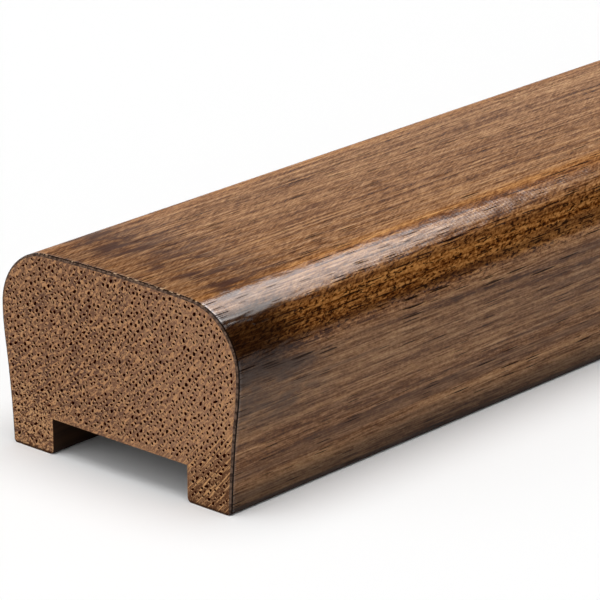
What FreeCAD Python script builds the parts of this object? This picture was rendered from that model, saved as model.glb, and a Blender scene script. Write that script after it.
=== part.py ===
import FreeCAD, Part
import enum
import math
import os

import Sketcher

# Stair handrail length, in millimetres: one hardwood moulding, lying on its two legs.
# X runs along the rail, Y across it and Z up, from the middle of the underside.

doc = FreeCAD.newDocument("StairHandrail")

# Driving dimensions
SIZES = [
    ("rail_length", 2400.0, "stock length, end to end"),
    ("rail_width", 71.5, "across the fullest part of the sides"),
    ("rail_height", 47.0, "underside to the top of the crown"),
    ("crown_radius", 500.0, "gentle rise of the top across the rail"),
    ("corner_radius", 14.5, "grip rounding from the top into the sides"),
    ("belly_radius", 60.0, "side turning in below its fullest part"),
    ("sweep_radius", 250.0, "hollow of the lower side"),
    ("side_tuck", 2.6, "how far each side draws in at the foot"),
    ("groove_width", 41.0, "plough for the spindle heads and the infill fillet"),
    ("groove_depth", 8.5, "plough, up from the underside"),
    ("arris_radius", 1.2, "long arrises of the two legs"),
    ("end_arris", 0.6, "eased edge where the moulding meets the sawn ends"),
]
sizes = doc.addObject("Spreadsheet::Sheet", "Sizes")
for row, (name, value, note) in enumerate(SIZES, start=1):
    sizes.set(f"A{row}", name)
    sizes.set(f"B{row}", str(value))
    sizes.set(f"C{row}", note)
    sizes.setAlias(f"B{row}", name)
doc.recompute()


def size(name):
    return float(sizes.get(name))


# Sketch helpers
class Axis(enum.IntEnum):
    """The sketch's own axes, as its rules number them."""

    ACROSS = -1
    UP = -2


class Spot(enum.IntEnum):
    """The point of a line or an arc that a rule takes hold of."""

    START = 1
    END = 2
    CENTRE = 3


ORIGIN = (Axis.ACROSS, Spot.START)


def origin_plane(body, role):
    return next(plane for plane in body.Origin.OriginFeatures if plane.Role == role)


def section_sketch(body, name):
    """A sketch across the rail: its first axis is Y, its second is Z."""
    sketch = body.newObject("Sketcher::SketchObject", name)
    sketch.AttachmentSupport = (origin_plane(body, "YZ_Plane"), [""])
    sketch.MapMode = "FlatFace"
    return sketch


def point(across, up):
    return FreeCAD.Vector(across, up, 0)


def add_line(sketch, first, last):
    return sketch.addGeometry(Part.LineSegment(first, last))


def add_arc(sketch, centre, first, last):
    """An arc that runs anticlockwise about its centre, from one point to the other."""
    spoke = first - centre
    reach = last - centre
    circle = Part.Circle(centre, FreeCAD.Vector(0, 0, 1), spoke.Length)
    start_angle = math.atan2(spoke.y, spoke.x)
    end_angle = math.atan2(reach.y, reach.x)
    return sketch.addGeometry(Part.ArcOfCircle(circle, start_angle, end_angle))


def add_rule(sketch, kind, *places):
    return sketch.addConstraint(Sketcher.Constraint(kind, *places))


def add_size(sketch, kind, places, length, expression):
    rule = sketch.addConstraint(Sketcher.Constraint(kind, *places, length))
    sketch.setExpression(f"Constraints[{rule}]", expression)


# The moulded section, one tangent run of arcs from foot to foot over the top.
# The points are worked out from the sizes, so the sketch starts where its rules hold it.
half_width = size("rail_width") / 2
half_foot = half_width - size("side_tuck")
crown_centre = point(0, size("rail_height") - size("crown_radius"))
corner_across = half_width - size("corner_radius")
fullest_up = crown_centre.y + math.sqrt(
    (size("crown_radius") - size("corner_radius")) ** 2 - corner_across**2
)
corner_centre = point(corner_across, fullest_up)
crown_end = crown_centre + (corner_centre - crown_centre).normalize() * size("crown_radius")
fullest = point(half_width, fullest_up)
foot = point(half_foot, 0)

# The hollow's centre is a belly and a sweep radius from the belly's, and a sweep radius from the foot.
belly_centre = point(half_width - size("belly_radius"), fullest_up)
foot_to_belly = belly_centre - foot
apart = foot_to_belly.Length
along = (
    apart**2 + size("sweep_radius") ** 2 - (size("belly_radius") + size("sweep_radius")) ** 2
) / (2 * apart)
aside = math.sqrt(size("sweep_radius") ** 2 - along**2)
towards_belly = foot_to_belly.normalize()
outwards = point(towards_belly.y, -towards_belly.x)
sweep_centre = foot + towards_belly * along + outwards * aside
turn = belly_centre + (sweep_centre - belly_centre).normalize() * size("belly_radius")


def other_side(place):
    return point(-place.x, place.y)


rail = doc.addObject("PartDesign::Body", "handrail")
rail.Label = "handrail"

moulding = section_sketch(rail, "MouldedSection")
underside = add_line(moulding, other_side(foot), foot)
right_sweep = add_arc(moulding, sweep_centre, turn, foot)
right_belly = add_arc(moulding, belly_centre, turn, fullest)
right_corner = add_arc(moulding, corner_centre, fullest, crown_end)
crown = add_arc(moulding, crown_centre, crown_end, other_side(crown_end))
left_corner = add_arc(moulding, other_side(corner_centre), other_side(crown_end), other_side(fullest))
left_belly = add_arc(moulding, other_side(belly_centre), other_side(fullest), other_side(turn))
left_sweep = add_arc(moulding, other_side(sweep_centre), other_side(foot), other_side(turn))

add_rule(moulding, "Coincident", underside, Spot.END, right_sweep, Spot.END)
add_rule(moulding, "Tangent", right_sweep, Spot.START, right_belly, Spot.START)
add_rule(moulding, "Tangent", right_belly, Spot.END, right_corner, Spot.START)
add_rule(moulding, "Tangent", right_corner, Spot.END, crown, Spot.START)
add_rule(moulding, "Tangent", crown, Spot.END, left_corner, Spot.START)
add_rule(moulding, "Tangent", left_corner, Spot.END, left_belly, Spot.START)
add_rule(moulding, "Tangent", left_belly, Spot.END, left_sweep, Spot.END)
add_rule(moulding, "Coincident", left_sweep, Spot.START, underside, Spot.START)

add_rule(moulding, "PointOnObject", underside, Spot.START, Axis.ACROSS)
add_rule(moulding, "Symmetric", underside, Spot.START, underside, Spot.END, Axis.UP)
add_rule(moulding, "PointOnObject", crown, Spot.CENTRE, Axis.UP)
add_rule(moulding, "Symmetric", left_corner, Spot.CENTRE, right_corner, Spot.CENTRE, Axis.UP)
add_rule(moulding, "Horizontal", right_corner, Spot.CENTRE, right_corner, Spot.START)
add_rule(moulding, "Horizontal", left_corner, Spot.CENTRE, left_corner, Spot.END)
add_rule(moulding, "Equal", right_belly, left_belly)
add_rule(moulding, "Equal", right_sweep, left_sweep)

add_size(
    moulding,
    "DistanceX",
    (left_corner, Spot.END, right_corner, Spot.START),
    size("rail_width"),
    "Sizes.rail_width",
)
add_size(
    moulding,
    "DistanceX",
    (underside, Spot.START, underside, Spot.END),
    2 * half_foot,
    "Sizes.rail_width - 2 * Sizes.side_tuck",
)
add_size(
    moulding,
    "DistanceY",
    (crown, Spot.CENTRE, *ORIGIN),
    -crown_centre.y,
    "Sizes.crown_radius - Sizes.rail_height",
)
add_size(moulding, "Radius", (crown,), size("crown_radius"), "Sizes.crown_radius")
add_size(moulding, "Radius", (right_corner,), size("corner_radius"), "Sizes.corner_radius")
add_size(moulding, "Radius", (right_belly,), size("belly_radius"), "Sizes.belly_radius")
add_size(moulding, "Radius", (right_sweep,), size("sweep_radius"), "Sizes.sweep_radius")

length = rail.newObject("PartDesign::Pad", "MouldedLength")
length.Profile = moulding
length.SideType = "Symmetric"
length.setExpression("Length", "Sizes.rail_length")
doc.recompute()


def edge_names(shape, wanted):
    """The names of the edges whose middle point passes the test."""
    names = []
    for number, edge in enumerate(shape.Edges, start=1):
        middle = edge.valueAt((edge.FirstParameter + edge.LastParameter) / 2)
        if wanted(middle):
            names.append(f"Edge{number}")
    return names


SAME_PLACE = 1e-4
half_length = size("rail_length") / 2


# Both sawn ends have their arris eased round the moulding, before the plough is run through.
def on_moulded_end(middle):
    at_end = abs(abs(middle.x) - half_length) < SAME_PLACE
    return at_end and middle.z > SAME_PLACE


eased_ends = rail.newObject("PartDesign::Chamfer", "EasedEnds")
eased_ends.Base = (length, edge_names(length.Shape, on_moulded_end))
eased_ends.setExpression("Size", "Sizes.end_arris")
doc.recompute()

# The plough, a plain rectangle run the whole length of the underside.
half_groove = size("groove_width") / 2
plough = section_sketch(rail, "PloughSection")
mouth = add_line(plough, point(-half_groove, 0), point(half_groove, 0))
right_wall = add_line(plough, point(half_groove, 0), point(half_groove, size("groove_depth")))
floor = add_line(plough, point(half_groove, size("groove_depth")), point(-half_groove, size("groove_depth")))
left_wall = add_line(plough, point(-half_groove, size("groove_depth")), point(-half_groove, 0))
outline = (mouth, right_wall, floor, left_wall)
for side, following in zip(outline, outline[1:] + outline[:1]):
    add_rule(plough, "Coincident", side, Spot.END, following, Spot.START)
add_rule(plough, "PointOnObject", mouth, Spot.START, Axis.ACROSS)
add_rule(plough, "Symmetric", mouth, Spot.START, mouth, Spot.END, Axis.UP)
add_rule(plough, "Horizontal", floor)
add_rule(plough, "Vertical", right_wall)
add_rule(plough, "Vertical", left_wall)
add_size(
    plough,
    "DistanceX",
    (mouth, Spot.START, mouth, Spot.END),
    size("groove_width"),
    "Sizes.groove_width",
)
add_size(
    plough,
    "DistanceY",
    (right_wall, Spot.START, right_wall, Spot.END),
    size("groove_depth"),
    "Sizes.groove_depth",
)

groove = rail.newObject("PartDesign::Pocket", "SpindleGroove")
groove.Profile = plough
groove.Type = "ThroughAll"
groove.SideType = "Symmetric"
doc.recompute()


# The legs' four long arrises, outside and at the groove's mouth, are taken off round.
def on_long_arris(middle):
    across = abs(middle.y)
    on_foot = abs(across - half_foot) < SAME_PLACE or abs(across - half_groove) < SAME_PLACE
    return on_foot and abs(middle.z) < SAME_PLACE and abs(middle.x) < SAME_PLACE


rounded_legs = rail.newObject("PartDesign::Fillet", "RoundedLegs")
rounded_legs.Base = (groove, edge_names(groove.Shape, on_long_arris))
rounded_legs.setExpression("Radius", "Sizes.arris_radius")
doc.recompute()

# Checks before anything is written
for item in doc.Objects:
    if "Invalid" in item.State or "Error" in item.State:
        raise RuntimeError(f"{item.Name} failed: {item.State}")
for sketch in (moulding, plough):
    if not sketch.FullyConstrained:
        raise RuntimeError(f"{sketch.Name} is not fully constrained")
ploughed_out = eased_ends.Shape.Volume - groove.Shape.Volume
plough_volume = size("groove_width") * size("groove_depth") * size("rail_length")
if not math.isclose(ploughed_out, plough_volume, rel_tol=1e-6):
    raise RuntimeError(f"the groove took {ploughed_out} and not {plough_volume}")
if rail.Shape.isNull() or not rail.Shape.isValid() or len(rail.Shape.Solids) != 1:
    raise RuntimeError("the handrail is not one valid solid")

os.makedirs("parts", exist_ok=True)
rail.Shape.exportStep(f"parts/{rail.Label}.step")
box = rail.Shape.BoundBox
print(f"{rail.Label}: {box.XLength:.2f} x {box.YLength:.2f} x {box.ZLength:.2f} mm")
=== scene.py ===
"""A length of moulded hardwood stair handrail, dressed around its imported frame."""
import math

import bpy
import numpy as np
from mathutils import Matrix, Vector


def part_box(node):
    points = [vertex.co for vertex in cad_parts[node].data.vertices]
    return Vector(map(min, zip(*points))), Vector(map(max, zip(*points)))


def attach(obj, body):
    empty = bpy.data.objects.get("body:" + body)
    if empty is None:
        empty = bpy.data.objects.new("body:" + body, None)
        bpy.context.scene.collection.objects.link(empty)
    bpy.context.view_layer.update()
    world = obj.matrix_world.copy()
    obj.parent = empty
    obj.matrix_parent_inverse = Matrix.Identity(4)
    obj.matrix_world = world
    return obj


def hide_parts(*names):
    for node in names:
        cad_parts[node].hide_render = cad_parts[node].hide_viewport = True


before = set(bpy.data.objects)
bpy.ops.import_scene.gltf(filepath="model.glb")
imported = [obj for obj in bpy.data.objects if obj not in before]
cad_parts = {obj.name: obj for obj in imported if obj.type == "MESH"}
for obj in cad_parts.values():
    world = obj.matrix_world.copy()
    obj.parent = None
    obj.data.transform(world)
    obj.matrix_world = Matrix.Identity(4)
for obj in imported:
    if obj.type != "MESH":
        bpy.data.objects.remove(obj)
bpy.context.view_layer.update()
bpy.ops.object.select_all(action="DESELECT")

# The handrail: one length of dark-stained hardwood, run through a moulder in a single pass.
# The crown, the grip corners and the drawn-in sides are one tangent run of arcs, and the
# groove for the spindle heads is ploughed along the underside between two legs.
rail_low, rail_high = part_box("handrail")
near_end = rail_low.x
far_end = rail_high.x
half_width = rail_high.y
rail_height = rail_high.z
crown_radius = 0.500
corner_radius = 0.0145
belly_radius = 0.060
hollow_radius = 0.250
side_tuck = 0.0026
groove_half_width = 0.0205
groove_depth = 0.0085
leg_arris = 0.0012

# Centres of the arcs on the +Y half, as (across, up), each one touching the next.
crown_centre = Vector((0.0, rail_height - crown_radius))
corner_across = half_width - corner_radius
corner_up = crown_centre.y + math.sqrt((crown_radius - corner_radius) ** 2 - corner_across**2)
corner_centre = Vector((corner_across, corner_up))
belly_centre = Vector((half_width - belly_radius, corner_up))
foot = Vector((half_width - side_tuck, 0.0))
foot_to_belly = belly_centre - foot
gap = foot_to_belly.length
along = (gap**2 + hollow_radius**2 - (belly_radius + hollow_radius) ** 2) / (2 * gap)
aside = math.sqrt(hollow_radius**2 - along**2)
towards_belly = foot_to_belly.normalized()
outwards = Vector((towards_belly.y, -towards_belly.x))
hollow_centre = foot + towards_belly * along + outwards * aside
leg_turn_reach = math.sqrt((hollow_radius + leg_arris) ** 2 - (hollow_centre.y - leg_arris) ** 2)
leg_turn_centre = Vector((hollow_centre.x - leg_turn_reach, leg_arris))
groove_turn_centre = Vector((groove_half_width + leg_arris, leg_arris))


def touching(centre, other_centre, radius):
    """The point on a circle that lies towards another circle's centre."""
    return centre + (other_centre - centre).normalized() * radius


crown_end = touching(crown_centre, corner_centre, crown_radius)
fullest = Vector((half_width, corner_up))
belly_end = touching(belly_centre, hollow_centre, belly_radius)
hollow_end = touching(hollow_centre, leg_turn_centre, hollow_radius)

# Half of the section is drawn from one point: out along the groove, round the leg and up to the crown.
bpy.ops.mesh.primitive_plane_add(size=groove_depth, location=(near_end, 0, groove_depth))
rail = bpy.context.object
rail.name = "moulded_rail"
bpy.ops.object.transform_apply(location=True)
bpy.ops.object.mode_set(mode="EDIT")
bpy.ops.mesh.select_all(action="SELECT")
bpy.ops.mesh.merge(type="CENTER")


def draw_straight(across, up):
    bpy.ops.mesh.extrude_region_move(TRANSFORM_OT_translate={"value": (0, across, up)})


def short_turn(first, last):
    """The angle from one arm of an arc to the other, the short way round."""
    return math.atan2(first.x * last.y - first.y * last.x, first.dot(last))


def draw_arc(centre, start, end, steps):
    """Carry the line on round a centre, the short way from start to end."""
    turn = short_turn(start - centre, end - centre)
    bpy.ops.mesh.spin(
        steps=steps, angle=-turn, center=(near_end, centre.x, centre.y), axis=(1, 0, 0)
    )


draw_straight(groove_half_width, 0)
draw_straight(0, leg_arris - groove_depth)
groove_mouth = Vector((groove_half_width, leg_arris))
leg_inside = Vector((groove_turn_centre.x, 0))
leg_outside = Vector((leg_turn_centre.x, 0))
crown_top = Vector((0, rail_height))
draw_arc(groove_turn_centre, groove_mouth, leg_inside, steps=6)
draw_straight(leg_outside.x - leg_inside.x, 0)
draw_arc(leg_turn_centre, leg_outside, hollow_end, steps=6)
draw_arc(hollow_centre, hollow_end, belly_end, steps=18)
draw_arc(belly_centre, belly_end, fullest, steps=8)
draw_arc(corner_centre, fullest, crown_end, steps=36)
draw_arc(crown_centre, crown_end, crown_top, steps=16)
bpy.ops.object.mode_set(mode="OBJECT")

hair = 0.00001
mirror = rail.modifiers.new("other_half", "MIRROR")
mirror.use_axis = (False, True, False)
mirror.merge_threshold = hair
bpy.ops.object.modifier_apply(modifier=mirror.name)

# The closed section is filled and drawn out to the rail's length, short of the easing at each end.
end_arris = 0.0006
easing_steps = 3
bpy.ops.object.mode_set(mode="EDIT")
bpy.ops.mesh.select_all(action="SELECT")
bpy.ops.mesh.edge_face_add()
bpy.ops.transform.translate(value=(end_arris, 0, 0))
straight_run = far_end - near_end - 2 * end_arris
bpy.ops.mesh.extrude_region_move(TRANSFORM_OT_translate={"value": (straight_run, 0, 0)})
bpy.ops.mesh.select_all(action="SELECT")
bpy.ops.mesh.remove_doubles(threshold=hair / 10)
bpy.ops.mesh.normals_make_consistent(inside=False)


def inwards_at(across, up):
    """The way into the wood from a point of the moulded edge; nothing on the underside and groove."""
    here = Vector((abs(across), up))
    if up > crown_end.y - hair:
        way = (crown_centre - here).normalized()
    elif up > corner_up - hair:
        way = (corner_centre - here).normalized()
    elif up > belly_end.y - hair:
        way = (belly_centre - here).normalized()
    elif up > hollow_end.y - hair and here.x > leg_outside.x:
        way = (here - hollow_centre).normalized()
    elif here.x > leg_outside.x:
        way = (leg_turn_centre - here).normalized() * (up / hollow_end.y)
    else:
        way = Vector((0, 0))
    return Vector((0, math.copysign(way.x, across * way.x), way.y))


# A stroke of sandpaper rounds over the moulded edge of both sawn ends; the groove's edges stay crisp.
square_on = 0.99
bpy.ops.mesh.select_mode(type="FACE")
for outward in (-1, 1):
    bpy.ops.mesh.select_all(action="DESELECT")
    bpy.ops.object.mode_set(mode="OBJECT")
    for face in rail.data.polygons:
        face.select = face.normal.x * outward > square_on
    bpy.ops.object.mode_set(mode="EDIT")
    gone_out = 0.0
    gone_in = 0.0
    for step in range(1, easing_steps + 1):
        lean = math.radians(90) * step / easing_steps
        out = end_arris * math.sin(lean)
        into = end_arris * (1 - math.cos(lean))
        bpy.ops.mesh.extrude_region_move(
            TRANSFORM_OT_translate={"value": (outward * (out - gone_out), 0, 0)}
        )
        bpy.ops.object.mode_set(mode="OBJECT")
        cap = next(face for face in rail.data.polygons if face.select)
        for number in cap.vertices:
            spot = rail.data.vertices[number]
            spot.co += inwards_at(spot.co.y, spot.co.z) * (into - gone_in)
        bpy.ops.object.mode_set(mode="EDIT")
        gone_out = out
        gone_in = into

# Cross cuts keep the long faces short enough to be laid out and shaded evenly.
stretch = 0.3
for cut in np.arange(near_end + stretch, far_end - stretch / 2, stretch):
    bpy.ops.mesh.select_all(action="SELECT")
    bpy.ops.mesh.bisect(plane_co=(cut, 0, 0), plane_no=(1, 0, 0))
bpy.ops.object.mode_set(mode="OBJECT")

# Open pores in the sawn ends. The wood's vessels run along the rail, so each end shows them as
# small blind holes, a little drawn out, in curved rows about the heart of the tree, with a few
# smaller ones between the rows and a torn lip round each where the saw came through.
heart_across = 0.132
heart_up = 0.157
first_row = 0.140
last_row = 0.236
row_pitch = 0.00134
row_start_angle = -2.60
row_end_angle = -2.00
row_stagger = 0.001
row_wander = 0.00021
row_pore_width = 0.00065
small_pore_width = 0.00046
width_spread = 0.20
narrowest_pore = 0.00044
widest_pore = 0.00096
least_drawn_out = 1.1
drawn_out_range = 2.0
shallowest_pore = 0.0006
deepest_pore = 0.0011
closest_gap = 0.00003
widest_gap = 0.00017
usual_lean = -0.10
lean_spread = 0.28
crosswise_share = 0.12
crosswise_lean = 1.9
crosswise_spread = 0.30
bend_spread = 0.26
missing_in_rows = 0.03
missing_between_rows = 0.72
missing_in_left_leg = 0.45
left_leg_inside = 0.014
left_leg_top = 0.010
pore_sides = 7
lip_width = 0.00009
lip_depth = 0.00010
lip_proud = 0.00002
least_wobble = 0.84
widest_wobble = 1.06
bend_share = 0.6
wood_between_pores = 0.00002
wood_at_edge = 0.0001
full_lip = lip_width * (1 + lip_proud / lip_depth)


def section_outline():
    """The end's outline as points in order, each (across, up), taken from the arcs drawn above."""
    points_an_arc = 24
    half = []
    for centre, start, end in (
        (leg_turn_centre, leg_outside, hollow_end),
        (hollow_centre, hollow_end, belly_end),
        (belly_centre, belly_end, fullest),
        (corner_centre, fullest, crown_end),
        (crown_centre, crown_end, crown_top),
    ):
        first = start - centre
        turn = short_turn(first, end - centre)
        begin = math.atan2(first.y, first.x)
        for angle in np.linspace(begin, begin + turn, points_an_arc):
            across = centre.x + first.length * math.cos(angle)
            up = centre.y + first.length * math.sin(angle)
            half.append((across, up))
    leg = [(groove_half_width, groove_depth), (groove_half_width, 0.0), (leg_outside.x, 0.0)]
    right = leg + half
    left = [(-across, up) for across, up in reversed(right)]
    return np.array(right + left)


outline = section_outline()


def room_inside(across, up):
    """How far a point of the end lies inside the outline; below zero outside it."""
    no_length = 1e-18
    no_rise = 1e-12
    start = outline
    run = np.roll(outline, -1, axis=0) - start
    run_squared = np.maximum((run**2).sum(1), no_length)
    gone_along = (across - start[:, 0]) * run[:, 0] + (up - start[:, 1]) * run[:, 1]
    share = np.clip(gone_along / run_squared, 0, 1)
    nearest = start + run * share[:, None]
    distance = np.hypot(nearest[:, 0] - across, nearest[:, 1] - up).min()
    above = (start[:, 1] > up) != (start[:, 1] + run[:, 1] > up)
    rise = np.where(np.abs(run[:, 1]) < no_rise, no_rise, run[:, 1])
    crossing = start[:, 0] + (up - start[:, 1]) * run[:, 0] / rise
    inside = np.count_nonzero(above & (crossing > across)) % 2 == 1
    return distance if inside else -distance


def scatter_pores(luck):
    """Places, sizes and turns of the pores on one end, row by row and clear of each other."""
    pores = []
    for number, ring in enumerate(np.arange(first_row, last_row, row_pitch / 2)):
        between_rows = number % 2 == 1
        usual_width = small_pore_width if between_rows else row_pore_width
        angle = row_start_angle - luck.uniform(0, row_stagger / ring)
        last_reach = 0.0
        while angle < row_end_angle:
            width = usual_width * luck.lognormal(0, width_spread)
            width = float(np.clip(width, narrowest_pore, widest_pore))
            drawn_out = least_drawn_out + drawn_out_range * luck.beta(1.2, 2.4)
            half_long = 0.5 * width * math.sqrt(drawn_out)
            half_short = half_long / drawn_out
            lean = luck.normal(usual_lean, lean_spread)
            if luck.random() < crosswise_share:
                lean = luck.normal(crosswise_lean, crosswise_spread)
            reach = math.hypot(half_long * math.cos(lean), half_short * math.sin(lean))
            reach = reach * widest_wobble + full_lip
            angle += (last_reach + reach + luck.uniform(closest_gap, widest_gap)) / ring
            last_reach = reach
            distance = ring + luck.normal(0, row_wander)
            across = heart_across + distance * math.cos(angle)
            up = heart_up + distance * math.sin(angle)
            turn = angle + math.pi / 2 + lean
            bend = luck.normal(0, bend_spread) * (drawn_out - 1)
            depth = luck.uniform(shallowest_pore, deepest_pore)
            missing = missing_in_rows
            if across > left_leg_inside and up < left_leg_top:
                missing = missing_in_left_leg
            if between_rows:
                missing = missing_between_rows
            if luck.random() < missing:
                continue
            if room_inside(across, up) < half_long + lip_width + end_arris + wood_at_edge:
                continue
            pores.append((across, up, half_long, half_short, turn, bend, depth))

    def reach_towards(pore, way):
        """How far a pore with its lip reaches towards a bearing, at the most."""
        half_long, half_short, turn, bend = pore[2:6]
        bulge = bend_share / 2 * abs(bend) * half_long
        long = (half_long * widest_wobble + full_lip) * math.cos(way - turn)
        short = (half_short * widest_wobble + full_lip + bulge) * math.sin(way - turn)
        return math.hypot(long, short)

    kept = []
    cells = {}
    cell_size = 0.0016
    for pore in pores:
        column = int(math.floor(pore[0] / cell_size))
        row = int(math.floor(pore[1] / cell_size))
        near = [
            other
            for side in (-1, 0, 1)
            for rise in (-1, 0, 1)
            for other in cells.get((column + side, row + rise), [])
        ]
        clear = True
        for other in near:
            way = math.atan2(other[1] - pore[1], other[0] - pore[0])
            apart = math.hypot(other[1] - pore[1], other[0] - pore[0])
            if apart < reach_towards(pore, way) + reach_towards(other, way) + wood_between_pores:
                clear = False
        if clear:
            cells.setdefault((column, row), []).append(pore)
            kept.append(pore)
    return kept


def pore_cutter(name, end, inwards, luck):
    """One joined mesh of bent, tapered pegs with a flared head, which stand through the end face."""
    verts = []
    faces = []
    bottom_share = 0.80
    for across, up, half_long, half_short, turn, bend, depth in scatter_pores(luck):
        first = len(verts)
        wobble = luck.uniform(least_wobble, widest_wobble, pore_sides)
        levels = ((-lip_proud, 1.0, full_lip), (lip_depth, 1.0, 0.0), (depth, bottom_share, 0.0))
        for place, share, lip in levels:
            for side in range(pore_sides):
                angle = 2 * math.pi * side / pore_sides
                long = (half_long * wobble[side] * share + lip) * math.cos(angle)
                short = (half_short * wobble[side] * share + lip) * math.sin(angle)
                short += bend * half_long * (math.cos(angle) ** 2 - 0.5) * bend_share
                verts.append(
                    (
                        end + inwards * place,
                        across + long * math.cos(turn) - short * math.sin(turn),
                        up + long * math.sin(turn) + short * math.cos(turn),
                    )
                )
        rings = [[first + level * pore_sides + side for side in range(pore_sides)] for level in range(3)]
        faces.append(rings[0][::-1])
        faces.append(rings[2])
        for upper, lower in ((rings[0], rings[1]), (rings[1], rings[2])):
            for side in range(pore_sides):
                after = (side + 1) % pore_sides
                faces.append([upper[side], upper[after], lower[after], lower[side]])
    mesh = bpy.data.meshes.new(name)
    mesh.from_pydata(verts, [], faces)
    mesh.update()
    cutter = bpy.data.objects.new(name, mesh)
    bpy.context.collection.objects.link(cutter)
    return cutter


for name, end, inwards, seed in (("near_pores", near_end, 1, 11), ("far_pores", far_end, -1, 23)):
    cutter = pore_cutter(name, end, inwards, np.random.default_rng(seed))
    bpy.ops.object.select_all(action="DESELECT")
    cutter.select_set(True)
    bpy.context.view_layer.objects.active = cutter
    bpy.ops.object.mode_set(mode="EDIT")
    bpy.ops.mesh.select_all(action="SELECT")
    bpy.ops.mesh.normals_make_consistent(inside=False)
    bpy.ops.object.mode_set(mode="OBJECT")
    bpy.ops.object.select_all(action="DESELECT")
    rail.select_set(True)
    bpy.context.view_layer.objects.active = rail
    drilling = rail.modifiers.new(name, "BOOLEAN")
    drilling.operation = "DIFFERENCE"
    drilling.solver = "MANIFOLD"
    drilling.object = cutter
    bpy.ops.object.modifier_apply(modifier=drilling.name)
    bpy.data.objects.remove(cutter)

bpy.ops.object.shade_smooth_by_angle(angle=math.radians(32))
true_faces = rail.modifiers.new("true_faces", "WEIGHTED_NORMAL")
true_faces.mode = "FACE_AREA"
true_faces.keep_sharp = True
bpy.ops.object.modifier_apply(modifier=true_faces.name)


# The finish. A dark walnut-brown stain lies under a satin lacquer on the moulded faces, and the
# sawn ends are left matt. The figure is solid: every pattern is laid in lengths along the rail
# and in rings and arcs about the heart, so streaks, pores and end grain belong to one board.
def add_node(tree, kind, values=None, **choices):
    """Add a node, set its choices, and fill or feed its inputs by name or number."""
    made = tree.nodes.new(kind)
    for name, choice in choices.items():
        setattr(made, name, choice)
    for socket, value in (values or {}).items():
        if isinstance(value, bpy.types.NodeSocket):
            tree.links.new(value, made.inputs[socket])
        else:
            made.inputs[socket].default_value = value
    return made


def calculate(tree, operation, first, second=0.0):
    return add_node(tree, "ShaderNodeMath", {0: first, 1: second}, operation=operation).outputs[0]


def between(tree, value, low, high, from_value=0.0, to_value=1.0):
    """Ease from one number to another as a value goes from low to high."""
    return add_node(
        tree,
        "ShaderNodeMapRange",
        {"Value": value, "From Min": low, "From Max": high, "To Min": from_value, "To Max": to_value},
        interpolation_type="SMOOTHSTEP",
    ).outputs[0]


def blend_colour(tree, share, first, second, how="MIX"):
    return add_node(
        tree, "ShaderNodeMix", {0: share, 6: first, 7: second}, data_type="RGBA", blend_type=how
    ).outputs[2]


def colour(red, green, blue):
    return (red, green, blue, 1.0)


def plain_place(tree):
    return add_node(tree, "ShaderNodeTexCoord").outputs["Object"]


def grain_place(tree):
    """The place bent to the board: lengths along it, ring radius, and arc round the heart."""
    mean_ring = 0.19
    from_heart = add_node(
        tree,
        "ShaderNodeVectorMath",
        {0: plain_place(tree), 1: (0, heart_across, heart_up)},
        operation="SUBTRACT",
    ).outputs[0]
    parts = add_node(tree, "ShaderNodeSeparateXYZ", {0: from_heart})
    across_squared = calculate(tree, "POWER", parts.outputs[1], 2.0)
    up_squared = calculate(tree, "POWER", parts.outputs[2], 2.0)
    ring = calculate(tree, "SQRT", calculate(tree, "ADD", across_squared, up_squared))
    bearing = calculate(tree, "ARCTAN2", parts.outputs[2], parts.outputs[1])
    arc = calculate(tree, "MULTIPLY", bearing, mean_ring)
    return add_node(tree, "ShaderNodeCombineXYZ", {0: parts.outputs[0], 1: ring, 2: arc}).outputs[0]


def stretched(tree, place, length, width, depth):
    """A place counted in lengths along the rail, widths across the rings and depths round them."""
    return add_node(
        tree, "ShaderNodeVectorMath", {0: place, 1: (1 / length, 1 / width, 1 / depth)}, operation="MULTIPLY"
    ).outputs[0]


def noise(tree, place, detail, roughness, distortion):
    return add_node(
        tree,
        "ShaderNodeTexNoise",
        {"Vector": place, "Scale": 1.0, "Detail": detail, "Roughness": roughness, "Distortion": distortion},
    ).outputs["Fac"]


def streaks(tree, place, length, width, depth, detail=2.0, roughness=0.5, distortion=0.0):
    """Noise drawn out to a length along the rail, a width across the rings and a depth round them."""
    return noise(tree, stretched(tree, place, length, width, depth), detail, roughness, distortion)


def new_finish(name):
    finish = bpy.data.materials.new(name)
    finish.use_nodes = True
    finish.node_tree.nodes.clear()
    tree = finish.node_tree
    surface = add_node(tree, "ShaderNodeBsdfPrincipled")
    add_node(tree, "ShaderNodeOutputMaterial", {"Surface": surface.outputs[0]})
    return finish, tree, surface


def set_gloss(surface, roughness, specular=0.0):
    surface.inputs["Roughness"].default_value = roughness
    surface.inputs["Specular IOR Level"].default_value = specular


def set_lacquer(surface, roughness):
    lacquer_ior = 1.45
    surface.inputs["Coat Roughness"].default_value = roughness
    surface.inputs["Coat IOR"].default_value = lacquer_ior


def set_relief(tree, surface, height, strength, distance):
    bump = add_node(tree, "ShaderNodeBump", {"Strength": strength, "Distance": distance, "Height": height})
    tree.links.new(bump.outputs[0], surface.inputs["Normal"])
    return bump.outputs[0]


# Lacquered long grain: tan and purple-brown streaks, fine fibres, gold lines and short dark pore
# lines, with an amber line beside the crown and a darker, closely marked band round the grip corner.
lacquer, tree, surface = new_finish("lacquered_long_grain")
rest = plain_place(tree)
place = grain_place(tree)
where = add_node(tree, "ShaderNodeSeparateXYZ", {0: rest})
length_along = where.outputs[0]
width_across = where.outputs[1]
height_up = where.outputs[2]


def slanted_dashes(tree, rest, slant, size, detail, roughness, distortion):
    """Noise in dashes of a size along, across and up, which lie at a slant to the rail."""
    turned = add_node(
        tree,
        "ShaderNodeMapping",
        {"Vector": rest, "Rotation": (0, 0, math.radians(slant)), "Scale": size},
        vector_type="TEXTURE",
    ).outputs[0]
    return noise(tree, turned, detail, roughness, distortion)


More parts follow.
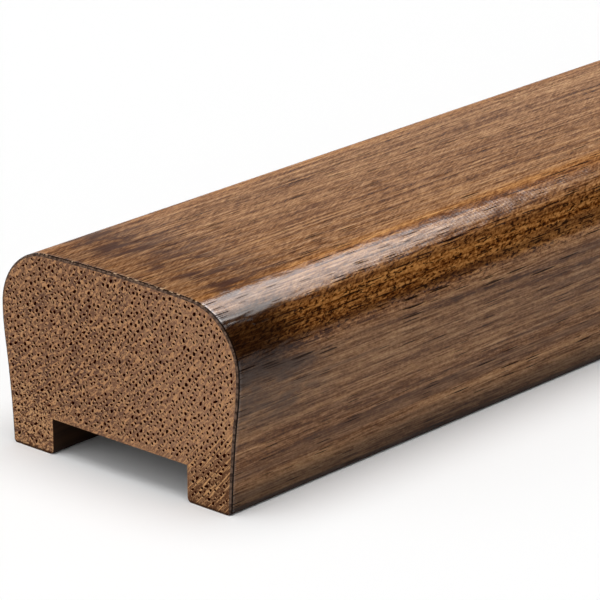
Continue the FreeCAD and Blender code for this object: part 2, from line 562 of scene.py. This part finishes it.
def height_band(tree, up, starts, full_from, full_to, ends, most=1.0):
    """A share that is full between two heights on the section and eases off below and above them."""
    return calculate(
        tree,
        "MULTIPLY",
        between(tree, up, starts, full_from, 0.0, most),
        between(tree, up, full_to, ends, 1.0, 0.0),
    )


def weighed(tree, layers):
    """Add up noise layers, each swung about its middle by its own weight."""
    middle = 0.5
    total = middle
    for layer, weight in layers:
        swing = calculate(tree, "MULTIPLY", calculate(tree, "SUBTRACT", layer, middle), weight)
        total = calculate(tree, "ADD", total, swing)
    return total


# Heights are in metres above the floor: the grip corner turns from 0.032 to 0.0465, the crown lies above.
on_side = between(tree, height_up, 0.0410, 0.0450, 1.0, 0.0)
on_round = height_band(tree, height_up, 0.0325, 0.0365, 0.0415, 0.0445)
broad = streaks(tree, place, 0.300, 0.0060, 0.0080, 2.0, 0.5, 0.3)
long_streak = streaks(tree, place, 0.050, 0.0009, 0.0009, 2.0, 0.55, 0.2)
fibre = streaks(tree, place, 0.0070, 0.00036, 0.00036, 2.0, 0.6, 0.3)
hatch = slanted_dashes(tree, rest, 24, (0.0028, 0.00046, 0.00050), 2.0, 0.55, 0.4)
hatch_weight = calculate(
    tree,
    "ADD",
    calculate(tree, "SUBTRACT", 0.85, calculate(tree, "MULTIPLY", on_side, 0.22)),
    calculate(tree, "MULTIPLY", on_round, 1.2),
)
tone = weighed(tree, ((broad, 0.45), (long_streak, 0.95), (fibre, 1.15), (hatch, hatch_weight)))
ramp = add_node(tree, "ShaderNodeValToRGB", {0: tone})
darkest, lightest = ramp.color_ramp.elements
darkest.position = 0.12
darkest.color = colour(0.060, 0.018, 0.004)
lightest.position = 0.92
lightest.color = colour(0.620, 0.345, 0.155)
for position, shade in (
    (0.35, colour(0.165, 0.058, 0.013)),
    (0.50, colour(0.275, 0.122, 0.043)),
    (0.67, colour(0.410, 0.200, 0.080)),
):
    ramp.color_ramp.elements.new(position).color = shade

purple_brown = colour(0.125, 0.060, 0.032)
gold = colour(0.560, 0.300, 0.125)
amber_tint = colour(1.06, 0.95, 0.74)
grip_tint = colour(0.74, 0.60, 0.37)
mark_brown = colour(0.016, 0.005, 0.0012)
sweep = streaks(tree, place, 0.110, 0.0030, 0.0034, 2.0, 0.5, 0.3)
side_sweep = calculate(tree, "MULTIPLY", between(tree, sweep, 0.53, 0.36, 0.0, 0.50), on_side)
banded = blend_colour(tree, side_sweep, ramp.outputs[0], purple_brown)
gold_line = streaks(tree, place, 0.180, 0.00085, 0.00085, 1.0)
gilt = blend_colour(tree, between(tree, gold_line, 0.62, 0.70, 0.0, 0.40), banded, gold)
crown_edge = height_band(tree, height_up, 0.0448, 0.0458, 0.0463, 0.0466)
amber_edge = blend_colour(tree, crown_edge, gilt, amber_tint, "MULTIPLY")
round_tone = blend_colour(tree, on_round, amber_edge, grip_tint, "MULTIPLY")
mark = slanted_dashes(tree, rest, 10, (0.0052, 0.00095, 0.00095), 3.0, 0.6, 1.3)
fine_marks = between(tree, hatch, 0.42, 0.33, 0.0, 0.9)
long_marks = between(tree, mark, 0.43, 0.36, 0.0, 0.95)
grip_marks = calculate(tree, "MULTIPLY", calculate(tree, "MAXIMUM", fine_marks, long_marks), on_round)
marked = blend_colour(tree, grip_marks, round_tone, mark_brown)

# Vessels that the surface cuts along their length show as thin dark lines, more of them on the grip.
vessel_brown = colour(0.008, 0.0025, 0.001)
vessels = stretched(tree, place, 0.009, 0.00040, 0.00040)
vessel_cells = add_node(tree, "ShaderNodeTexVoronoi", {"Vector": vessels, "Scale": 1.0, "Randomness": 1.0})
vessel_luck = add_node(tree, "ShaderNodeSeparateColor", {0: vessel_cells.outputs["Color"]})
crowding = streaks(tree, place, 0.120, 0.0040, 0.0040, 1.0, 0.5, 0.3)
on_grip = height_band(tree, height_up, 0.0150, 0.0300, 0.0455, 0.0465, most=0.12)
longest_reach = calculate(tree, "ADD", between(tree, crowding, 0.36, 0.60, 0.26, 0.44), on_grip)
vessel_reach = calculate(
    tree, "MULTIPLY", calculate(tree, "POWER", vessel_luck.outputs[0], 2.0), longest_reach
)
past_vessel = calculate(tree, "SUBTRACT", vessel_cells.outputs["Distance"], vessel_reach)
pore_line = between(tree, past_vessel, -0.05, 0.02, 1.0, 0.0)
lined = blend_colour(tree, calculate(tree, "MULTIPLY", pore_line, 0.95), marked, vessel_brown)

# Stain soaks in from the sawn ends and leaves the last finger's width darker: most of all on the
# corners, in blotches on the top and the upper side, and least on the very last strip of the top.
corner_stain = colour(0.014, 0.0040, 0.0010)
top_stain = colour(0.062, 0.024, 0.015)
side_stain = colour(0.070, 0.042, 0.030)
upper_side_shade_colour = colour(0.090, 0.052, 0.036)
foot_shade_colour = colour(0.010, 0.0040, 0.0018)
from_end = calculate(tree, "SUBTRACT", far_end, calculate(tree, "ABSOLUTE", length_along))
drift = streaks(tree, place, 0.024, 0.0016, 0.0016, 2.0, 0.6, 0.3)
soak_front = calculate(tree, "ADD", from_end, calculate(tree, "MULTIPLY", drift, 0.020))
soaked = between(tree, soak_front, 0.020, 0.038, 1.0, 0.0)
corner_band = height_band(tree, height_up, 0.0255, 0.0325, 0.0432, 0.0450)
corner_soak = calculate(tree, "MULTIPLY", soaked, calculate(tree, "MULTIPLY", corner_band, 0.86))
corner_stained = blend_colour(tree, corner_soak, lined, corner_stain)
mottle = streaks(tree, place, 0.0120, 0.0034, 0.0034, 4.0, 0.65, 0.8)
blotched = calculate(
    tree,
    "MULTIPLY",
    between(tree, soak_front, 0.024, 0.046, 1.0, 0.0),
    between(tree, mottle, 0.38, 0.60, 0.25, 1.10),
)
strip_front = calculate(tree, "ADD", from_end, calculate(tree, "MULTIPLY", drift, 0.010))
last_strip = between(tree, strip_front, 0.009, 0.016, 0.35, 1.0)
top_soak = calculate(tree, "MULTIPLY", between(tree, height_up, 0.0440, 0.0460, 0.0, 0.85), last_strip)
top_stained = blend_colour(tree, calculate(tree, "MULTIPLY", blotched, top_soak), corner_stained, top_stain)
side_soak_and_shade = height_band(tree, height_up, 0.0150, 0.0230, 0.0315, 0.0330, most=0.66)
side_stained = blend_colour(
    tree, calculate(tree, "MULTIPLY", blotched, side_soak_and_shade), top_stained, side_stain
)
# Painted shade: the upper side is a little darker all along the rail, not only by the soaked ends.
upper_side_shaded = blend_colour(tree, calculate(tree, "MULTIPLY", side_soak_and_shade, 0.22), side_stained, upper_side_shade_colour)
# Painted shade: the foot of the side darkens towards the floor, with a painted contact line along the bottom
# edge.
low_shade = between(tree, height_up, 0.0080, 0.0028, 0.0, 0.62)
foot_painted_shade = calculate(tree, "MAXIMUM", low_shade, between(tree, height_up, 0.0013, 0.0024, 0.90, 0.0))
foot_shaded = blend_colour(tree, foot_painted_shade, upper_side_shaded, foot_shade_colour)
tree.links.new(foot_shaded, surface.inputs["Base Color"])

# The lacquer flows out over faint knife marks and raised fibres, and sinks into the vessels. It is
# thin on the fibres, dry on the soaked top, rubbed on the far corner and fat along the cut edge.
knife_pitch = 0.0011
knife_turn = calculate(tree, "MULTIPLY", length_along, 2 * math.pi / knife_pitch)
knife_marks = calculate(tree, "SINE", knife_turn)
ripple = streaks(tree, place, 0.0060, 0.0017, 0.0017, 1.0)
flow = calculate(
    tree, "ADD", calculate(tree, "MULTIPLY", ripple, 7.0), calculate(tree, "MULTIPLY", knife_marks, 0.12)
)
raised = calculate(tree, "ADD", flow, calculate(tree, "MULTIPLY", fibre, 0.5))
relief = calculate(tree, "SUBTRACT", raised, calculate(tree, "MULTIPLY", pore_line, 0.8))
lacquer_face = set_relief(tree, surface, relief, 0.30, 0.00005)
tree.links.new(lacquer_face, surface.inputs["Coat Normal"])
set_gloss(surface, 0.6)
dried_in = calculate(tree, "MULTIPLY", soaked, between(tree, height_up, 0.0461, 0.0465, 0.0, 0.5))
dry_top = calculate(tree, "SUBTRACT", 1.0, dried_in)
even_film = calculate(tree, "ADD", 0.24, calculate(tree, "MULTIPLY", fibre, 0.52))
fat_edge = between(tree, from_end, 0.0009, 0.0013, 0.5, 0.0)
rubbed_corner = between(tree, width_across, 0.0215, 0.0250, 1.0, 0.45)
rubbed_film = calculate(tree, "MULTIPLY", calculate(tree, "MULTIPLY", even_film, dry_top), rubbed_corner)
film = calculate(tree, "ADD", rubbed_film, fat_edge)
not_sunk = calculate(tree, "SUBTRACT", 1.0, calculate(tree, "MULTIPLY", pore_line, 0.9))
open_film = calculate(tree, "MULTIPLY", film, not_sunk)
tree.links.new(open_film, surface.inputs["Coat Weight"])
set_lacquer(surface, 0.17)

# Sawn end grain: matt purple-brown with golden patches along the rows of pores, pale rays towards
# the lower right corner and pale torn curls, most of them in the left leg.
end_grain, tree, surface = new_finish("sawn_end_grain")
place = grain_place(tree)
spot = add_node(tree, "ShaderNodeSeparateXYZ", {0: plain_place(tree)})
across = spot.outputs[1]
up = spot.outputs[2]
dark_body = colour(0.150, 0.076, 0.053)
light_body = colour(0.236, 0.118, 0.070)
light_side = colour(0.38, 0.200, 0.118)
end_gold = colour(0.56, 0.288, 0.140)
corner_brown = colour(0.120, 0.050, 0.024)
ray_tan = colour(0.62, 0.33, 0.145)
dull_brown = colour(0.090, 0.036, 0.016)
curl_tan = colour(0.60, 0.34, 0.165)
end_foot_shade_colour = colour(0.030, 0.014, 0.008)
cloud = streaks(tree, place, 0.05, 0.0050, 0.0090, 3.0, 0.55, 0.0)
body = blend_colour(tree, between(tree, cloud, 0.40, 0.60), dark_body, light_body)
lighter_side = blend_colour(tree, between(tree, across, 0.008, -0.028, 0.0, 0.60), body, light_side)
golden = streaks(tree, place, 0.05, 0.00075, 0.00150, 2.0, 0.55, 0.8)
ring = add_node(tree, "ShaderNodeSeparateXYZ", {0: place}).outputs[1]
row_turn = calculate(
    tree, "MULTIPLY", calculate(tree, "SUBTRACT", ring, first_row), 2 * math.pi / row_pitch
)
beside_rows = calculate(
    tree, "ADD", golden, calculate(tree, "MULTIPLY", calculate(tree, "COSINE", row_turn), 0.045)
)
gilded = blend_colour(tree, between(tree, beside_rows, 0.50, 0.60, 0.0, 0.95), lighter_side, end_gold)
in_left_leg = calculate(
    tree, "MULTIPLY", between(tree, up, 0.022, 0.008), between(tree, across, 0.012, 0.024)
)
to_corner = calculate(tree, "ADD", up, calculate(tree, "MULTIPLY", across, 0.8))
by_right_leg = between(tree, to_corner, 0.004, -0.012)
low_right = between(tree, to_corner, -0.003, -0.017, 0.0, 0.90)
shaded = blend_colour(tree, low_right, gilded, corner_brown)
rays = streaks(tree, place, 0.05, 0.00042, 0.0065, 1.0, 0.5, 0.2)
ray_share = calculate(
    tree, "MULTIPLY", between(tree, rays, 0.56, 0.66), calculate(tree, "ADD", 0.12, by_right_leg)
)
rayed = blend_colour(tree, ray_share, shaded, ray_tan)
curl = streaks(tree, place, 0.05, 0.00080, 0.00120, 1.0, 0.5, 2.0)
curl_share = calculate(tree, "ADD", 0.40, calculate(tree, "MULTIPLY", in_left_leg, 0.60))
dull_share = calculate(tree, "MULTIPLY", between(tree, curl, 0.47, 0.39, 0.0, 0.75), curl_share)
pale_share = calculate(tree, "MULTIPLY", between(tree, curl, 0.53, 0.61), curl_share)
dulled = blend_colour(tree, dull_share, rayed, dull_brown)
curled = blend_colour(tree, pale_share, dulled, curl_tan)
# Painted shade: a thin dark line along the foot of the end where it meets the floor.
end_foot_shaded = blend_colour(tree, between(tree, up, 0.0003, 0.0008, 0.85, 0.0), curled, end_foot_shade_colour)
tree.links.new(end_foot_shaded, surface.inputs["Base Color"])
set_relief(tree, surface, curl, 0.4, 0.00010)
set_gloss(surface, 0.85)

# Pore lips: fibres that the saw has turned over round each pore. Faces that turn up towards the light are
# painted pale as painted light, broken by torn fibres; faces turned away stay dark red, partly stain and
# partly painted shade.
pore_lip, tree, surface = new_finish("torn_pore_lips_painted_light")
place = grain_place(tree)
stained_and_shaded_lip = colour(0.125, 0.020, 0.004)
pale_lip = colour(0.72, 0.43, 0.225)
tear = streaks(tree, place, 0.0003, 0.0009, 0.0009, 1.0)
lip_normal = add_node(tree, "ShaderNodeTexCoord").outputs["Normal"]
lit_from = (0, -0.6, 0.8)


def turned_to(tree, heading, way):
    """How nearly a heading points one way, 1 straight at it."""
    return add_node(
        tree, "ShaderNodeVectorMath", {0: heading, 1: way}, operation="DOT_PRODUCT"
    ).outputs["Value"]


# Painted light and shade: each lip's colour follows how far its faces turn towards a fixed light.
turned_up = between(tree, turned_to(tree, lip_normal, lit_from), 0.15, 0.55)
torn_and_lit = calculate(tree, "MULTIPLY", turned_up, between(tree, tear, 0.30, 0.50, 0.35, 1.0))
tree.links.new(blend_colour(tree, torn_and_lit, stained_and_shaded_lip, pale_lip), surface.inputs["Base Color"])
set_gloss(surface, 0.85)

# Pore walls: stain gathers in the vessels, and the walls are painted almost black, partly for that stain
# and partly as painted shade in the hollows.
pore_wall, tree, surface = new_finish("stained_and_shaded_pore_walls")
place = grain_place(tree)
dried_stain_and_shade = colour(0.012, 0.0013, 0.0002)
thin_stain_and_shade = colour(0.070, 0.008, 0.0015)
patch = streaks(tree, place, 0.002, 0.0012, 0.0012)
tree.links.new(blend_colour(tree, patch, dried_stain_and_shade, thin_stain_and_shade), surface.inputs["Base Color"])
set_gloss(surface, 0.9)

# Eased end edge: the sanded-back corner takes stain twice, black on the moulded side and worn grey
# towards the end, with a few pale flecks along the top as a painted glint of the lacquered edge.
eased_edge, tree, surface = new_finish("eased_end_edge")
place = grain_place(tree)
edge_spot = add_node(tree, "ShaderNodeSeparateXYZ", {0: plain_place(tree)})
edge_up = edge_spot.outputs[2]
edge_depth = calculate(tree, "SUBTRACT", far_end, calculate(tree, "ABSOLUTE", edge_spot.outputs[0]))
worn_dark = colour(0.050, 0.029, 0.020)
worn_pale = colour(0.180, 0.112, 0.078)
edge_black = colour(0.008, 0.0035, 0.002)
glint_tan = colour(0.50, 0.33, 0.20)
worn = streaks(tree, place, 0.002, 0.0009, 0.0009, 2.0, 0.6)
worn_colour = blend_colour(tree, between(tree, worn, 0.40, 0.64), worn_dark, worn_pale)
edge_colour = blend_colour(tree, between(tree, edge_depth, 0.00020, 0.00034), worn_colour, edge_black)
glint_flecks = streaks(tree, place, 0.004, 0.0010, 0.0010, 1.0)
glint_room = calculate(
    tree,
    "MULTIPLY",
    between(tree, edge_depth, 0.00026, 0.00036),
    between(tree, edge_up, 0.0452, 0.0462),
)
# Painted glint: pale flecks along the top of the edge.
painted_glint = calculate(tree, "MULTIPLY", between(tree, glint_flecks, 0.57, 0.66), glint_room)
tree.links.new(blend_colour(tree, painted_glint, edge_colour, glint_tan), surface.inputs["Base Color"])
set_gloss(surface, 0.7)
surface.inputs["Coat Weight"].default_value = 0.12
set_lacquer(surface, 0.12)

# Ploughed groove and underside: planed, stained and left without lacquer, and darker still as painted shade
# in the hollow of the groove and against the floor.
groove_finish, tree, surface = new_finish("stained_and_shaded_groove")
place = grain_place(tree)
furrow_dark = colour(0.008, 0.0032, 0.0012)
furrow_light = colour(0.050, 0.021, 0.008)
furrow = streaks(tree, place, 0.05, 0.0012, 0.0012, 2.0)
tree.links.new(blend_colour(tree, furrow, furrow_dark, furrow_light), surface.inputs["Base Color"])
set_relief(tree, surface, furrow, 0.4, 0.0001)
set_gloss(surface, 0.7, 0.2)

# Each face takes its finish by its place.
flat_end = hair / 2
pore_floor = 0.0014
inside_edge = end_arris + 5 * hair
edge_slope = 0.05
bare_and_shaded_foot = 0.8 * leg_arris
rail.data.materials.clear()
for finish in (lacquer, end_grain, pore_lip, pore_wall, eased_edge, groove_finish):
    rail.data.materials.append(finish)
lacquer_slot, end_slot, lip_slot, pore_slot, edge_slot, groove_slot = range(6)
for face in rail.data.polygons:
    centre = face.center
    depths = [far_end - abs(rail.data.vertices[number].co.x) for number in face.vertices]
    deepest = max(depths)
    inner_end = deepest < pore_floor and room_inside(centre.y, centre.z) > inside_edge
    between_legs = abs(centre.y) < leg_outside.x + 10 * hair and centre.z < groove_depth + 2 * hair
    if deepest < flat_end:
        face.material_index = end_slot
    elif inner_end and deepest < lip_depth + hair:
        face.material_index = lip_slot
    elif inner_end:
        face.material_index = pore_slot
    elif deepest < end_arris + hair / 2 and abs(face.normal.x) > edge_slope:
        face.material_index = edge_slot
    # The foot of the legs takes the dark groove finish, a painted contact shade where they meet the floor.
    elif between_legs or centre.z < bare_and_shaded_foot:
        face.material_index = groove_slot
    else:
        face.material_index = lacquer_slot

# A map for laying the finish out flat: the two ends above, and below them the moulded faces
# unrolled round the section in two lengths.
seam = np.array([[0.0, groove_depth]])
going_round = np.vstack([seam, outline, seam])
sides = np.diff(going_round, axis=0)
side_lengths = np.hypot(sides[:, 0], sides[:, 1])
girth = side_lengths.sum()
gone_round = np.concatenate([[0.0], np.cumsum(side_lengths)])[:-1]


def round_the_section(across, up):
    """How far round the section a point of it lies, from the middle of the groove out by +Y."""
    no_length = 1e-9
    from_across = going_round[:-1, 0]
    from_up = going_round[:-1, 1]
    share = (across - from_across) * sides[:, 0] + (up - from_up) * sides[:, 1]
    share = np.clip(share / np.maximum(side_lengths, no_length) ** 2, 0, 1)
    off_across = from_across + share * sides[:, 0] - across
    off_up = from_up + share * sides[:, 1] - up
    nearest = int(np.argmin(np.hypot(off_across, off_up)))
    return gone_round[nearest] + share[nearest] * side_lengths[nearest]


laid_out = rail.data.uv_layers.new(name="OFBake")
end_share = 0.42
end_scale = end_share / (2 * half_width)
near_end_left = 0.03
far_end_left = 0.52
long_top = 0.70
end_foot = long_top + 0.01
margin = 0.004
for face in rail.data.polygons:
    on_end = face.material_index in (end_slot, lip_slot, pore_slot, edge_slot)
    far = face.center.x > 0
    for corner, number in zip(face.loop_indices, face.vertices):
        spot = rail.data.vertices[number].co
        if on_end:
            sideways = (far_end_left if far else near_end_left) + (spot.y + half_width) * end_scale
            upwards = end_foot + spot.z * end_scale
        else:
            sideways = margin + (1 - 2 * margin) * (abs(spot.x) / far_end)
            turn = round_the_section(spot.y, spot.z) / girth
            if abs(spot.y) < hair / 10 and spot.z < rail_height / 2:
                turn = 0.0 if face.center.y > 0 else 1.0
            row_low = margin + (long_top / 2 if far else 0.0)
            upwards = row_low + turn * (long_top / 2 - 2 * margin)
        laid_out.data[corner].uv = (sideways, upwards)

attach(rail, "root")
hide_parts("handrail")

# The floor: a wide sheet of white board that the rail lies on, with nothing else in sight.
floor_size = 60.0
bpy.ops.object.select_all(action="DESELECT")
bpy.ops.mesh.primitive_plane_add(size=floor_size, location=(0, 0, 0))
floor = bpy.context.object
floor.name = "floor"
white_board, tree, surface = new_finish("white_board")
ray = add_node(tree, "ShaderNodeLightPath")
board_white = colour(0.95, 0.95, 0.95)
board_grey = colour(0.55, 0.55, 0.55)
board_colour = blend_colour(tree, ray.outputs["Is Diffuse Ray"], board_white, board_grey)
tree.links.new(board_colour, surface.inputs["Base Color"])
set_gloss(surface, 0.9)
floor.data.materials.append(white_board)

# The light: a broad soft light overhead, even along the rail, a dim room with a window in front
# and some light from the side, and a long oval lamp that only the lacquer picks up, along the grip
# corner by the near end.
overhead_data = bpy.data.lights.new("overhead", "SUN")
overhead_data.energy = 2.16
overhead_data.angle = math.radians(56)
overhead = bpy.data.objects.new("overhead", overhead_data)
bpy.context.collection.objects.link(overhead)

strip_data = bpy.data.lights.new("corner_strip", "AREA")
strip_data.shape = "ELLIPSE"
strip_long = 0.70
strip_wide = 0.235
strip_level = 11.0
strip_data.size = strip_wide
strip_data.size_y = strip_long
strip_area = math.pi / 4 * strip_wide * strip_long
strip_data.energy = math.pi * strip_area * strip_level
strip = bpy.data.objects.new("corner_strip", strip_data)
strip.location = (near_end + 0.627, 0.070, 0.650)
strip.rotation_euler.z = math.radians(-7.5)
strip.visible_diffuse = False
strip.visible_camera = False
bpy.context.collection.objects.link(strip)

room = bpy.data.worlds.new("room")
bpy.context.scene.world = room
room.use_nodes = True
tree = room.node_tree
tree.nodes.clear()
ray = add_node(tree, "ShaderNodeLightPath")
heading = add_node(tree, "ShaderNodeTexCoord").outputs["Generated"]
compass = add_node(tree, "ShaderNodeSeparateXYZ", {0: heading})
low_sky = between(tree, compass.outputs[2], 0.36, 0.42, 0.56, 0.03)
bearing = calculate(tree, "ARCTAN2", compass.outputs[1], compass.outputs[0])
dark_side = between(tree, bearing, math.radians(-15), math.radians(5), 0.06, 1.0)
behind = between(tree, bearing, math.radians(-95), math.radians(-75), 1.0, 0.0)
mirror_level = calculate(tree, "MULTIPLY", low_sky, calculate(tree, "MAXIMUM", dark_side, behind))


def either(tree, share, plain, other):
    return add_node(tree, "ShaderNodeMix", {0: share, 2: plain, 3: other}, data_type="FLOAT").outputs[0]


front_window = Vector((-0.90, 0.14, 0.40)).normalized()
side_window = (0.0, -0.98, 0.18)
front_fill = between(tree, turned_to(tree, heading, front_window), 0.55, 0.95, 0.0, 1.1)
side_fill = between(tree, turned_to(tree, heading, side_window), 0.55, 0.95, 0.14, 0.34)
fill_level = calculate(tree, "ADD", side_fill, front_fill)
plain_or_mirror = either(tree, ray.outputs["Is Glossy Ray"], fill_level, mirror_level)
seen = either(tree, ray.outputs["Is Camera Ray"], plain_or_mirror, 1.0)
sky = add_node(tree, "ShaderNodeBackground", {"Color": colour(1, 1, 1), "Strength": seen})
add_node(tree, "ShaderNodeOutputWorld", {"Surface": sky.outputs[0]})

# The camera: a long lens, close to the floor, looking at the near end and down the right side.
camera_data = bpy.data.cameras.new("camera")
camera_data.lens = 245.25
camera_data.sensor_width = 36.0
camera = bpy.data.objects.new("camera", camera_data)
bpy.context.collection.objects.link(camera)
yaw = math.radians(42.3669)
pitch = math.radians(19.5977)
roll = math.radians(-0.3593)
to_right = Vector((math.sin(yaw), -math.cos(yaw), 0))
forward = Vector((math.cos(yaw) * math.cos(pitch), math.sin(yaw) * math.cos(pitch), -math.sin(pitch)))
upward = to_right.cross(forward)
frame_right = to_right * math.cos(roll) + upward * math.sin(roll)
frame_up = upward * math.cos(roll) - to_right * math.sin(roll)
stand = Vector((near_end - 0.58358, -0.58576, 0.33495))
turned = Matrix((frame_right, frame_up, -forward)).transposed().to_4x4()
camera.matrix_world = Matrix.Translation(stand) @ turned
bpy.context.scene.camera = camera

bpy.context.scene.view_settings.view_transform = "Standard"

bpy.context.view_layer.update()
